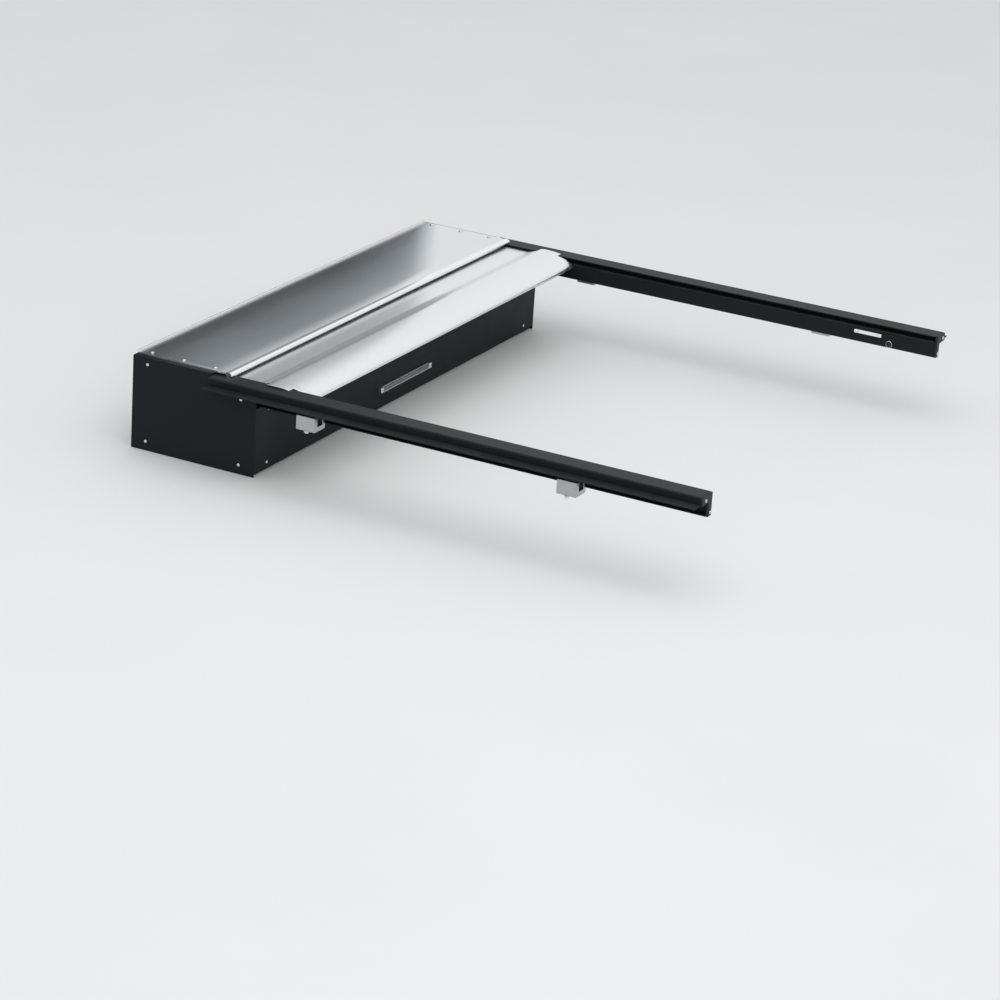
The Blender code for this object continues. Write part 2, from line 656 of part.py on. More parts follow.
def rail_loops(side):
    """The rail's section: lip, slat channel, hollow block, seat flange and inner skirt."""
    lip = [(RAIL_INNER_X, RAIL_TOP_Z - 0.0005), (RAIL_INNER_X + 0.0005, RAIL_TOP_Z)]
    block = [(RAIL_BLOCK_X - 0.003, RAIL_TOP_Z), (RAIL_BLOCK_X, RAIL_TOP_Z - 0.003)]
    block.append((RAIL_BLOCK_X, RAIL_FLOOR_Z))
    flange = [(RAIL_FLANGE_X, RAIL_FLOOR_Z), (RAIL_FLANGE_X, 0.0), (RAIL_BLOCK_X, 0.0)]
    flange.append((RAIL_BLOCK_X, SEAT_STEP))
    return_top = RAIL_SKIRT_Z + RAIL_WALL
    skirt = [(RAIL_INNER_X + RAIL_WALL, SEAT_STEP), (RAIL_INNER_X + RAIL_WALL, return_top)]
    skirt.extend([(RAIL_INNER_X + RAIL_RETURN, return_top), (RAIL_INNER_X + RAIL_RETURN, RAIL_SKIRT_Z)])
    skirt.extend([(RAIL_INNER_X + 0.002, RAIL_SKIRT_Z), (RAIL_INNER_X, RAIL_SKIRT_Z + 0.002)])
    channel = [(RAIL_INNER_X, RAIL_FLOOR_Z), (CHANNEL_BACK_X, RAIL_FLOOR_Z), (CHANNEL_BACK_X, RAIL_LIP_Z)]
    channel.append((RAIL_INNER_X, RAIL_LIP_Z))
    hollow_low = (CHANNEL_BACK_X + RAIL_WALL, RAIL_FLOOR_Z + 0.0025)
    hollow = rectangle(hollow_low, (RAIL_BLOCK_X - RAIL_WALL, RAIL_TOP_Z - 0.0035))
    outer = lip + block + flange + skirt + channel
    return [mirrored(outer, side), mirrored(hollow, side)]


def clamp_outline():
    """The clamp's section: a leg beside the skirt and a jaw that grips the bed's flange from below."""
    leg_x = RAIL_INNER_X + RAIL_RETURN + GAP
    jaw_x = leg_x + CLAMP_WIDTH - CLAMP_JAW_THICK
    outer_x = leg_x + CLAMP_WIDTH
    base_z = CLAMP_LOW_Z + 0.012
    points = [(leg_x, -GAP), (leg_x + CLAMP_LEG_THICK, -GAP), (leg_x + CLAMP_LEG_THICK, base_z)]
    points.extend([(jaw_x, base_z), (jaw_x, CLAMP_JAW_Z), (outer_x, CLAMP_JAW_Z)])
    points.extend([(outer_x, CLAMP_LOW_Z + 0.004), (outer_x - 0.004, CLAMP_LOW_Z), (leg_x, CLAMP_LOW_Z)])
    return points


def add_rails(build):
    for side_name, side in SIDES.items():
        rail = build.extrude(f"rail_{side_name}", rail_loops(side), "Y", RAIL_REAR_Y, RAIL_FRONT_Y,
                             "black_metal")
        if side_name == "right":
            hole = [circle((BUTTON_Y, BUTTON_Z), BUTTON_RADIUS + 2.0 * GAP, 24)]
            drill = build.cutter("button_drill", hole, "X", RAIL_INNER_X - 0.002, RAIL_INNER_X + 0.006)
            boolean(rail, drill, "DIFFERENCE")
        liner_low = (RAIL_INNER_X + 0.0005, RAIL_FLOOR_Z + GAP)
        liner = rectangle(liner_low, (CHANNEL_BACK_X - GAP, RAIL_FLOOR_Z + 0.0035))
        build.extrude(f"rail_liner_{side_name}", [mirrored(liner, side)], "Y",
                      RAIL_REAR_Y + 0.001, RAIL_FRONT_Y - 0.001, "black_plastic")
        cap = [(RAIL_INNER_X, RAIL_SKIRT_Z), (RAIL_INNER_X + RAIL_RETURN, RAIL_SKIRT_Z)]
        cap.append((RAIL_INNER_X + RAIL_RETURN, 0.0))
        cap.extend([(RAIL_BLOCK_X, 0.0), (RAIL_BLOCK_X, RAIL_TOP_Z - 0.003)])
        cap.append((RAIL_BLOCK_X - 0.003, RAIL_TOP_Z))
        cap.append((RAIL_INNER_X, RAIL_TOP_Z))
        end = build.extrude(f"rail_end_{side_name}", [mirrored(cap, side)], "Y",
                            RAIL_REAR_Y - GAP - RAIL_END_THICK, RAIL_REAR_Y - GAP, "black_plastic")
        bevel(end, 0.0010, 1)
        for place, middle in CLAMP_YS.items():
            build.extrude(f"clamp_{place}_{side_name}", [mirrored(clamp_outline(), side)], "Y",
                          middle - CLAMP_LENGTH / 2.0, middle + CLAMP_LENGTH / 2.0, "steel")


def add_rail_fittings(build):
    """The bright plates on the rails' inner faces and the button on the right one."""
    plate = rounded_rectangle((CATCH_YS[0], CATCH_ZS[0]), (CATCH_YS[1], CATCH_ZS[1]), 0.0015)
    for side_name, side in SIDES.items():
        low, high = span(side, RAIL_INNER_X - GAP - 0.0020, RAIL_INNER_X - GAP)
        build.extrude(f"catch_plate_{side_name}", [plate], "X", low, high, "bright")
    centre = (BUTTON_Y, BUTTON_Z)
    ring = [circle(centre, BEZEL_RADIUS, 28), circle(centre, BUTTON_RADIUS + 2.0 * GAP, 28)]
    build.extrude("button_bezel", ring, "X", RAIL_INNER_X - 0.0040, RAIL_INNER_X - GAP, "steel")
    cap = build.extrude("button_cap", [circle(centre, BUTTON_RADIUS, 28)], "X",
                        RAIL_INNER_X - 0.0052, RAIL_INNER_X + 0.0060, "black_plastic", build.button)
    bevel(cap, 0.0008, 2)


def main():
    clear_scene()
    build = Builder()
    add_slats(build)
    add_pull_bar(build)
    add_drum(build)
    add_motor(build)
    add_shell(build)
    add_end_plates(build)
    add_lid(build)
    add_light_bar(build)
    add_rails(build)
    add_rail_fittings(build)


main()
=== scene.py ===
"""The looks of a retractable tonneau cover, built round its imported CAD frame.

The frame is metres: +X to the vehicle's right, +Y towards the cab, +Z up, with the rails' seats at z = 0.
"""

import json
import math

import bmesh
import bpy
from mathutils import Matrix, Vector


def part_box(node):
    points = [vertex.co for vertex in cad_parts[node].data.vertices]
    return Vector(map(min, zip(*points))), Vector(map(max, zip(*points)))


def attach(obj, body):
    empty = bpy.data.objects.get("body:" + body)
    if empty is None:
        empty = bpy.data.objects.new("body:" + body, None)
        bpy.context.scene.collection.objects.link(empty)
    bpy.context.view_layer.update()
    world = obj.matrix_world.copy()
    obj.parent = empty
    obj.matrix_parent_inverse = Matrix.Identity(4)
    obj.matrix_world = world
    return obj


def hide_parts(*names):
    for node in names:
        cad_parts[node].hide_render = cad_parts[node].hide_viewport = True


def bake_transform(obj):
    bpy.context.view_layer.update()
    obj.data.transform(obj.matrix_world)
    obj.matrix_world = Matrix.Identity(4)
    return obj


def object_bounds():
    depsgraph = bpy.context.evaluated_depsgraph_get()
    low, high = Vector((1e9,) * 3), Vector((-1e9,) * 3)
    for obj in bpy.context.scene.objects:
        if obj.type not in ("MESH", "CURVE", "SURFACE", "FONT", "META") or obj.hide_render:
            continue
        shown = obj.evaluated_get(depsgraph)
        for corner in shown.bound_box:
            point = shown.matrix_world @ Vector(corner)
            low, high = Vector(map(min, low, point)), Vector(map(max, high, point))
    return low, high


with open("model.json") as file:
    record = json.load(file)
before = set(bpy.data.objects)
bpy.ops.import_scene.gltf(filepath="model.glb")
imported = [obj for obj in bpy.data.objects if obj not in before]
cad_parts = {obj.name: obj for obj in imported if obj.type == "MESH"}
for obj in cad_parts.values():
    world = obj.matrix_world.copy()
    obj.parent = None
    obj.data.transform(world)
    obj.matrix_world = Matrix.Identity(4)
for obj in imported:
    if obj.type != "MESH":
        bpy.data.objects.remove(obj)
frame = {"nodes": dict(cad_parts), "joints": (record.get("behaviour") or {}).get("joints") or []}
CAD_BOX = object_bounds()

SIDES = {"left": -1.0, "right": 1.0}
GAP = 0.0003

# Curtain slats
SLAT_PITCH = 0.060
BEAD_RADIUS = 0.0016
NECK_HALF_THICK = 0.0007
SOCKET_INNER_RADIUS = 0.0020
SOCKET_OUTER_RADIUS = 0.0034
HINGE_BODY_GAP = 0.0042
WEB_SLATS = 17
WEB_START_Y = -0.100
SLAT_LOW_ROUND = 0.0012
SLAT_TOP_ROUND = 0.0010
SLAT_OVERHANG = 0.0016
SOCKET_REACH = 0.0032
SOCKET_LIP_DEG = 140.0
SOCKET_TOP_DEG = 148.0
SOCKET_LOW_DEG = -80.0
SOCKET_FOOT_DEG = -50.0

# Pull bar
NOSE_RISE = 0.044
NOSE_WALL = 0.003
NOSE_STEP = 0.0005
BLOCK_DEPTH = 0.017
LIP_DEPTH = 0.023
TONGUE_DEPTH = 0.012
TONGUE_HALF_THICK = 0.002
WING_SIDE_X = 0.698
# Wing strips: black strips that stand in for the shadowed slit above each rail, painted shade
WING_STRIP_HEIGHT = 0.0026
WING_STRIP_THICK = 0.0016
WING_STRIP_LOWEST = 0.0006
NOSE_STEPS = 16
LIP_ROUND = 0.0015
BLOCK_BELOW_GROOVE = 0.0035

# Bed clamps; the bolt is (half its flats, head height, washer radius, washer height)
# and the pad's rings are (radius, height, sides)
CLAMP_LEG_THICK = 0.011
CLAMP_JAW_THICK = 0.013
CLAMP_BASE_Z = -0.034
CLAMP_JAW_Z = -0.008
PAD_SINK = 0.002
CLAMP_ROUND = 0.0028
CLAMP_EDGE = 0.0006
CLAMP_BOLT = (0.0050, 0.0045, 0.0064, 0.0012)
WASHER_CHAMFER = 0.0003
BOLT_CHAMFER = 0.0004
BOLT_CROWN = 0.0009
CLAMP_PAD = (
    (0.0052, -0.0017, 0), (0.0058, -0.0014, 0), (0.0058, -0.0005, 0), (0.0053, 0.0, 0), (0.0020, 0.0, 0),
)

# Finishes; patterns are shifted off the origin, where all octaves of a noise meet and leave marks
PATTERN_SHIFT = (7.31, 3.77, 5.19)
DUST_COLOUR = (0.16, 0.16, 0.155)
TARNISH_COLOUR = (0.42, 0.40, 0.36)
COAT_SHEEN = 0.10
PLASTIC_SHEEN = 0.22
LENS_COAT = 0.3
LENS_COAT_ROUGHNESS = 0.12

# Meshes
CREASE_ANGLE = math.radians(32.0)
EDGE_SEGMENTS = 2
CORNER_SHARE = 0.45
WELD_DISTANCE = 0.00002
HALVINGS = 50

# Lid screws and case screws, each as (half the socket's flats, socket depth, shank radius, shank length)
LID_SCREW = (0.0019, 0.0015, 0.0025, 0.007)
SCREW_SIDES = 36
SCREW_TURN_DEG = 17.0
CASE_SCREW = (0.0015, 0.0012, 0.0018, 0.0002)
CASE_SCREW_RADIUS = 0.0042
CASE_SCREW_HEIGHT = 0.0021
CASE_SCREW_SIDES = 30
PLATE_OUTER_STEP = 0.0033
PLATE_SCREW_SHARES = ((0.12, 0.93), (0.88, 0.80), (0.12, 0.10), (0.88, 0.10))
WALL_SCREW_DROPS = (0.050, 0.185)
WALL_SCREW_IN = 0.055
CAP_SKIRT_IN = 0.0085
CAP_BLOCK_IN = 0.016
CAP_SCREW_RISE = 0.010
CAP_SCREW_DROP = 0.011

# Catch plates and push button; rings are (radius, height, sides)
CATCH_ROUND = 0.0022
CATCH_EDGE = 0.0005
CATCH_SCREW_SHARES = (0.14, 0.86)
CATCH_SCREW = (
    (0.0018, -0.0008, 0), (0.0032, -0.0001, 0), (0.0032, 0.0001, 0), (0.0030, 0.0003, 0),
    (0.0016, 0.0004, 6), (0.0014, 0.0002, 6), (0.0014, -0.0005, 6), (0.0004, -0.0006, 6),
)
BUTTON_SIDES = 48
BUTTON_RING_INNER = 0.0076
BUTTON_RING_ROUND = 0.0009
BUTTON_RING_WALL = 0.35
BUTTON_RING_DROP = 0.0011
BUTTON_CHAMFER = 0.0004
BUTTON_SHOULDER = 0.0022
BUTTON_EDGE_RISE = 0.0012
BUTTON_DOME = 0.0010
BUTTON_DOME_SPREAD = 0.86

# Bed light's lens: its section as shares of the box, depth from the back and height from below
LENS_SECTION = ((0.0, 0.0), (0.0, 1.0), (0.45, 0.94), (0.80, 0.58), (0.96, 0.20), (0.96, 0.0))
LENS_ROUND = 0.0008
FLUTE_WIDTH = 0.004
FLUTE_STEPS = 8
FLUTE_SHARE = 0.04

# Stage and light
FLOOR_DROP = 0.0005
FLOOR_REACH = 30.0
# The cab card: a glowing sheet seen only in reflections, a painted reflection whose glow fades through these
# levels in height and across X
CARD_MARGIN = 0.10
CARD_BEHIND = 0.030
CARD_LOW_Z = 0.02
CARD_HIGH_Z = 0.60
CARD_HEIGHTS = (0.02, 0.09, 0.34)
CARD_UPWARD_LEVELS = (0.020, 0.045, 0.48)
CARD_SIDE_STARTS = (0.30, 0.70)
CARD_SIDE_LEVELS = (0.0, 0.09, 1.0)
CARD_DARK_TINT = (0.80, 0.92, 1.0, 1.0)
HORIZON_STRENGTH = 0.80
ZENITH_STRENGTH = 1.06
STUDIO_TINT = (0.98, 0.99, 1.0, 1.0)
LIGHT_AIM = (0.0, -0.7, 0.0)

# Camera, found by fitting the cover's corners to the photograph
CAMERA_AIM = Vector((0.0, -0.641, -0.415))
CAMERA_DISTANCE = 8.651
CAMERA_AZIMUTH = -63.35
CAMERA_ELEVATION = 20.95
CAMERA_ROLL = 3.9
CAMERA_LENS = 123.6


# ---------------------------------------------------------------- materials


class Finish:
    """One material's node tree, built up step by step from patterns in the object's own space."""

    def __init__(self, name, colour, roughness, metallic=0.0):
        self.material = bpy.data.materials.new(name)
        self.material.use_nodes = True
        self.nodes = self.material.node_tree.nodes
        self.links = self.material.node_tree.links
        self.shader = self.nodes["Principled BSDF"]
        self.colour = colour
        self.shader.inputs["Base Color"].default_value = (*colour, 1.0)
        self.shader.inputs["Roughness"].default_value = roughness
        self.shader.inputs["Metallic"].default_value = metallic
        self.place = self.nodes.new("ShaderNodeTexCoord").outputs["Object"]
        self.material.diffuse_color = (*colour, 1.0)

    def stretched(self, scale):
        mapping = self.nodes.new("ShaderNodeMapping")
        mapping.inputs["Scale"].default_value = scale
        mapping.inputs["Location"].default_value = PATTERN_SHIFT
        self.links.new(self.place, mapping.inputs["Vector"])
        return mapping.outputs["Vector"]

    def noise(self, scale, detail=3.0, roughness=0.55, distortion=0.0):
        """A noise pattern with so many features a metre along each axis."""
        texture = self.nodes.new("ShaderNodeTexNoise")
        texture.inputs["Scale"].default_value = 1.0
        texture.inputs["Detail"].default_value = detail
        texture.inputs["Roughness"].default_value = roughness
        texture.inputs["Distortion"].default_value = distortion
        self.links.new(self.stretched(scale), texture.inputs["Vector"])
        return texture.outputs["Fac"]

    def cells(self, scale):
        """Rounded cells, as in a moulded grain."""
        texture = self.nodes.new("ShaderNodeTexVoronoi")
        texture.feature = "SMOOTH_F1"
        texture.inputs["Scale"].default_value = 1.0
        texture.inputs["Smoothness"].default_value = 0.6
        self.links.new(self.stretched(scale), texture.inputs["Vector"])
        return texture.outputs["Distance"]

    def ranged(self, value, low, high, start=0.3, end=0.7):
        """A pattern's middle range spread from low to high."""
        spread = self.nodes.new("ShaderNodeMapRange")
        spread.inputs["From Min"].default_value = start
        spread.inputs["From Max"].default_value = end
        spread.inputs["To Min"].default_value = low
        spread.inputs["To Max"].default_value = high
        self.links.new(value, spread.inputs["Value"])
        return spread.outputs["Result"]

    def maths(self, operation, first, second):
        joined = self.nodes.new("ShaderNodeMath")
        joined.operation = operation
        for socket, value in zip(joined.inputs, (first, second)):
            if isinstance(value, float):
                socket.default_value = value
            else:
                self.links.new(value, socket)
        return joined.outputs["Value"]

    def facing_up(self):
        """1 on surfaces that face up, 0 on walls and undersides."""
        normal = self.nodes.new("ShaderNodeNewGeometry").outputs["Normal"]
        split = self.nodes.new("ShaderNodeSeparateXYZ")
        self.links.new(normal, split.inputs["Vector"])
        return self.ranged(split.outputs["Z"], 0.0, 1.0, start=0.5, end=1.0)

    def mixed(self, factor, first, second):
        """A colour between two others; either may be a colour or a socket."""
        mix = self.nodes.new("ShaderNodeMix")
        mix.data_type = "RGBA"
        self.links.new(factor, mix.inputs["Factor"])
        for socket, value in ((mix.inputs["A"], first), (mix.inputs["B"], second)):
            if isinstance(value, tuple):
                socket.default_value = (*value, 1.0)
            else:
                self.links.new(value, socket)
        return mix.outputs["Result"]

    def tone(self, factor, darkest, lightest):
        """Base colour that runs from darkest to lightest times the finish's own."""
        dark = tuple(channel * darkest for channel in self.colour)
        light = tuple(min(1.0, channel * lightest) for channel in self.colour)
        return self.mixed(factor, dark, light)

    def set_colour(self, socket):
        self.links.new(socket, self.shader.inputs["Base Color"])

    def set_roughness(self, socket):
        self.links.new(socket, self.shader.inputs["Roughness"])

    def bump(self, *layers):
        """Relief from (height pattern, strength, depth in metres) layers, finest last."""
        normal = None
        for height, strength, depth in layers:
            relief = self.nodes.new("ShaderNodeBump")
            relief.inputs["Strength"].default_value = strength
            relief.inputs["Distance"].default_value = depth
            self.links.new(height, relief.inputs["Height"])
            if normal is not None:
                self.links.new(normal, relief.inputs["Normal"])
            normal = relief.outputs["Normal"]
        self.links.new(normal, self.shader.inputs["Normal"])


def anodised(name, colour, roughness, line_depth):
    """Satin aluminium extrusion: die lines along X, a fine etched grain and faint handling smudges."""
    finish = Finish(name, colour, roughness, metallic=1.0)
    lines = finish.noise((0.35, 520.0, 520.0), detail=4.0, roughness=0.6)
    fine_lines = finish.noise((2.5, 2600.0, 2600.0), detail=3.0, roughness=0.6)
    grain = finish.noise((4200.0, 4200.0, 4200.0), detail=2.0)
    smudge = finish.noise((2.2, 4.5, 4.5), detail=4.0, roughness=0.55, distortion=0.4)
    streaks = finish.ranged(finish.maths("ADD", lines, grain), 0.0, 1.0, start=0.6, end=1.4)
    finish.set_colour(finish.tone(streaks, 0.95, 1.04))
    lined = finish.ranged(lines, -0.015, 0.015)
    smudged = finish.ranged(smudge, -0.020, 0.030)
    finish.set_roughness(finish.maths("ADD", finish.maths("ADD", lined, smudged), roughness))
    finish.bump((lines, 0.25, line_depth), (fine_lines, 0.3, line_depth * 0.3), (grain, 0.25, 0.00002))
    return finish.material


def powder_coat(name, colour, roughness):
    """Black powder coat on metal: orange peel, a fine texture and thin dust where it faces up."""
    finish = Finish(name, colour, roughness)
    peel = finish.noise((420.0, 420.0, 420.0), detail=2.0)
    texture = finish.noise((2600.0, 2600.0, 2600.0), detail=3.0, roughness=0.6)
    patches = finish.noise((7.0, 7.0, 7.0), detail=5.0, roughness=0.6, distortion=0.5)
    coat = finish.tone(finish.ranged(texture, 0.0, 1.0), 0.80, 1.35)
    dust_cover = finish.maths("MULTIPLY", finish.facing_up(), finish.ranged(patches, 0.01, 0.08))
    finish.set_colour(finish.mixed(dust_cover, coat, DUST_COLOUR))
    rough = finish.maths("ADD", finish.ranged(patches, -0.05, 0.06), roughness)
    finish.set_roughness(finish.maths("ADD", rough, finish.ranged(texture, -0.03, 0.03)))
    finish.bump((peel, 0.30, 0.00010), (texture, 0.35, 0.00004))
    finish.shader.inputs["Specular IOR Level"].default_value = COAT_SHEEN
    return finish.material


def moulded_plastic(name, colour, roughness):
    """Black moulded plastic with a leathery grain and slightly worn, paler high spots."""
    finish = Finish(name, colour, roughness)
    grain = finish.cells((1100.0, 1100.0, 1100.0))
    patches = finish.noise((22.0, 22.0, 22.0), detail=4.0, roughness=0.6, distortion=0.3)
    finish.set_colour(finish.tone(finish.ranged(patches, 0.0, 1.0), 0.85, 1.45))
    finish.set_roughness(finish.maths("ADD", finish.ranged(grain, -0.08, 0.06, start=0.1, end=0.8), roughness))
    finish.bump((grain, 0.55, 0.00012))
    finish.shader.inputs["Specular IOR Level"].default_value = PLASTIC_SHEEN
    return finish.material


def rubber(name, colour, roughness):
    """Soft black rubber with extrusion lines along X and a chalky bloom."""
    finish = Finish(name, colour, roughness)
    lines = finish.noise((4.0, 900.0, 900.0), detail=3.0)
    bloom = finish.noise((60.0, 60.0, 60.0), detail=5.0, roughness=0.65)
    finish.set_colour(finish.tone(finish.ranged(bloom, 0.0, 1.0), 0.8, 1.9))
    finish.set_roughness(finish.ranged(bloom, 0.68, 0.88))
    finish.bump((lines, 0.4, 0.00006), (bloom, 0.3, 0.00005))
    return finish.material


def plated_steel(name, colour, roughness):
    """Zinc-plated steel: small crystals, tarnish patches and fine scratches."""
    finish = Finish(name, colour, roughness, metallic=1.0)
    crystals = finish.noise((260.0, 260.0, 260.0), detail=2.0, roughness=0.5, distortion=1.2)
    tarnish = finish.noise((45.0, 45.0, 45.0), detail=5.0, roughness=0.65, distortion=0.4)
    scratches = finish.noise((120.0, 3200.0, 900.0), detail=2.0)
    plated = finish.tone(finish.ranged(crystals, 0.0, 1.0), 0.86, 1.08)
    tarnished = finish.ranged(tarnish, 0.0, 0.45, start=0.5, end=0.8)
    finish.set_colour(finish.mixed(tarnished, plated, TARNISH_COLOUR))
    finish.set_roughness(finish.maths("ADD", finish.ranged(crystals, -0.05, 0.09), roughness))
    finish.bump((scratches, 0.25, 0.00003), (crystals, 0.2, 0.00004))
    return finish.material


def painted_motor(name, colour, roughness):
    """Semi-gloss grey enamel over a drawn tube."""
    finish = Finish(name, colour, roughness)
    flow = finish.noise((180.0, 180.0, 180.0), detail=2.0)
    patches = finish.noise((30.0, 30.0, 30.0), detail=4.0)
    finish.set_colour(finish.tone(finish.ranged(patches, 0.0, 1.0), 0.9, 1.1))
    finish.set_roughness(finish.ranged(flow, 0.36, 0.48))
    finish.bump((flow, 0.2, 0.00008))
    return finish.material


def frosted_lens(name, colour, roughness):
    """Smoky plastic over an unlit strip of diodes: softly mottled, with a satin skin."""
    finish = Finish(name, colour, roughness)
    mottle = finish.noise((90.0, 240.0, 240.0), detail=3.0)
    skin = finish.noise((1600.0, 1600.0, 1600.0), detail=2.0)
    finish.set_colour(finish.tone(finish.ranged(mottle, 0.0, 1.0), 0.88, 1.10))
    finish.set_roughness(finish.ranged(skin, 0.26, 0.40))
    finish.bump((skin, 0.15, 0.00003))
    finish.shader.inputs["Coat Weight"].default_value = LENS_COAT
    finish.shader.inputs["Coat Roughness"].default_value = LENS_COAT_ROUGHNESS
    return finish.material


def make_finishes():
    return {
        "lid": anodised("satin_lid", (0.78, 0.80, 0.82), 0.31, 0.00002),
        "slat": anodised("satin_slat", (0.50, 0.52, 0.54), 0.30, 0.00003),
        "silver": anodised("satin_silver", (0.86, 0.86, 0.87), 0.30, 0.00002),
        "bright": anodised("bright_trim", (0.93, 0.93, 0.94), 0.17, 0.00001),
        "drum": anodised("drawn_tube", (0.66, 0.67, 0.68), 0.33, 0.00004),
        "coat": powder_coat("powder_coat", (0.010, 0.011, 0.0135), 0.44),
        "plastic": moulded_plastic("moulded_plastic", (0.013, 0.014, 0.015), 0.52),
        "rubber": rubber("soft_rubber", (0.012, 0.012, 0.013), 0.78),
        "steel": plated_steel("plated_steel", (0.46, 0.47, 0.48), 0.34),
        "screw": plated_steel("stainless_screw", (0.74, 0.74, 0.73), 0.20),
        "motor": painted_motor("motor_enamel", (0.24, 0.25, 0.26), 0.42),
        "lens": frosted_lens("frosted_lens", (0.11, 0.12, 0.13), 0.32),
    }


# ---------------------------------------------------------------- mesh tools


def arc(centre, radius, start_deg, end_deg, steps):
    """Points along a circular arc, both ends included."""
    points = []
    for step in range(steps + 1):
        angle = math.radians(start_deg + (end_deg - start_deg) * step / steps)
        points.append((centre[0] + radius * math.cos(angle), centre[1] + radius * math.sin(angle)))
    return points


def rounded(corners, radius, steps=4):
    """An outline with each of its corners turned into a small curve."""
    points = []
    count = len(corners)
    for index, corner in enumerate(corners):
        here = Vector(corner)
        before = Vector(corners[index - 1]) - here
        after = Vector(corners[(index + 1) % count]) - here
        reach = min(radius, before.length * CORNER_SHARE, after.length * CORNER_SHARE)
        first = here + before.normalized() * reach
        last = here + after.normalized() * reach
        for step in range(steps + 1):
            share = step / steps
            point = first * (1 - share) ** 2 + here * 2 * share * (1 - share) + last * share**2
            points.append((point.x, point.y))
    return points


def smoothstep(share):
    share = min(1.0, max(0.0, share))
    return share * share * (3.0 - 2.0 * share)


def add_prism(work, outline, sections, place):
    """A closed solid through the given sections; place(across, up, section) gives each corner."""
    rows = [[work.verts.new(place(across, up, section)) for across, up in outline] for section in sections]
    count = len(outline)
    for row, further in zip(rows, rows[1:]):
        for index in range(count):
            follow = (index + 1) % count
            work.faces.new((row[index], row[follow], further[follow], further[index]))
    work.faces.new(rows[0])
    work.faces.new(rows[-1][::-1])


def along_x(across, up, section):
    return (section, across, up)


def along_y(across, up, section):
    return (across, section, up)


def add_turned(work, rings, steps, matrix):
    """A closed turned solid from (radius, height, sides) rings; sides 6 makes a hexagon, 0 a circle."""
    rows = []
    for radius, height, sides in rings:
        row = []
        for step in range(steps):
            angle = 2.0 * math.pi * step / steps
            reach = radius
            if sides:
                wedge = 2.0 * math.pi / sides
                reach = radius / math.cos(angle % wedge - wedge / 2.0)
            spot = Vector((reach * math.cos(angle), reach * math.sin(angle), height))
            row.append(work.verts.new(matrix @ spot))
        rows.append(row)
    for row, further in zip(rows, rows[1:]):
        for index in range(steps):
            follow = (index + 1) % steps
            work.faces.new((row[index], row[follow], further[follow], further[index]))
    work.faces.new(rows[0])
    work.faces.new(rows[-1][::-1])


def add_ring(work, outline, steps, matrix):
    """A ring whose (radius, height) section is a closed outline."""
    rows = []
    for step in range(steps):
        angle = 2.0 * math.pi * step / steps
        turned = matrix @ Matrix.Rotation(angle, 4, "Z")
        rows.append([work.verts.new(turned @ Vector((radius, 0.0, height))) for radius, height in outline])
    for number, row in enumerate(rows):
        further = rows[(number + 1) % steps]
        for index in range(len(outline)):
            follow = (index + 1) % len(outline)
            work.faces.new((row[index], row[follow], further[follow], further[index]))


def finished_piece(name, work, material):
    """Turns the bmesh into a shown object with outward, smooth faces and crisp edges."""
    bmesh.ops.recalc_face_normals(work, faces=work.faces)
    mesh = bpy.data.meshes.new(name)
    work.to_mesh(mesh)
    work.free()
    mesh.shade_smooth()
    mesh.set_sharp_from_angle(angle=CREASE_ANGLE)
    mesh.materials.append(material)
    piece = bpy.data.objects.new(name, mesh)
    bpy.context.scene.collection.objects.link(piece)
    return piece


def soften(piece, width):
    """Rounds the piece's edges so that they catch the light."""
    edges = piece.modifiers.new("edges", "BEVEL")
    edges.width = width
    edges.segments = EDGE_SEGMENTS
    edges.limit_method = "ANGLE"
    edges.angle_limit = CREASE_ANGLE
    edges.use_clamp_overlap = True
    flatten_shading(piece)


def flatten_shading(piece):
    """Keeps the shading of large faces flat beside their rounded edges."""
    shading = piece.modifiers.new("shading", "WEIGHTED_NORMAL")
    shading.keep_sharp = True


def pointing(direction, place):
    """A matrix that takes +Z to the direction, at the place."""
    return Matrix.Translation(place) @ Vector(direction).to_track_quat("Z", "Y").to_matrix().to_4x4()


# ---------------------------------------------------------------- carried-over CAD nodes


def numbered(prefix, count):
    return [f"{prefix}_{number:02d}" for number in range(1, count + 1)]


CARRIED = {
    "lid": (["lid"], 0.0),
    "bright": (["lid_front_strip", "lid_rear_trim"], 0.0),
    "silver": (["lead_apron", "lead_cap_left", "lead_cap_right", "light_housing"], 0.0006),
    "slat": (numbered("rolled_slat", 17), 0.0),
    "drum": (["drum_tube"], 0.0003),
    "coat": (["canister_shell", "end_plate_left", "end_plate_right", "rail_left", "rail_right"], 0.0006),
    "plastic": (["drive_wheel", "idler_plug", "rail_end_left", "rail_end_right", "rail_liner_left",
                 "rail_liner_right"], 0.0004),
    "rubber": (["mouth_wiper", "nose_seal"], 0.0),
    "steel": (["idler_bracket", "idler_pin", "motor_bracket"], 0.0005),
    "motor": (["motor_body"], 0.0005),
}


def dress_carried_nodes(finishes):
    """Gives the CAD nodes that stay their finish and, where they show, rounded edges."""
    for finish, (names, edge) in CARRIED.items():
        for name in names:
            node = frame["nodes"][name]
            for slot in node.material_slots:
                slot.material = finishes[finish]
            mesh = node.data
            if "custom_normal" in mesh.attributes:
                mesh.attributes.remove(mesh.attributes["custom_normal"])
            mesh.shade_smooth()
            weld = node.modifiers.new("weld", "WELD")
            weld.merge_threshold = WELD_DISTANCE
            if edge:
                soften(node, edge)
            else:
                split = node.modifiers.new("creases", "EDGE_SPLIT")
                split.split_angle = CREASE_ANGLE


# ---------------------------------------------------------------- curtain


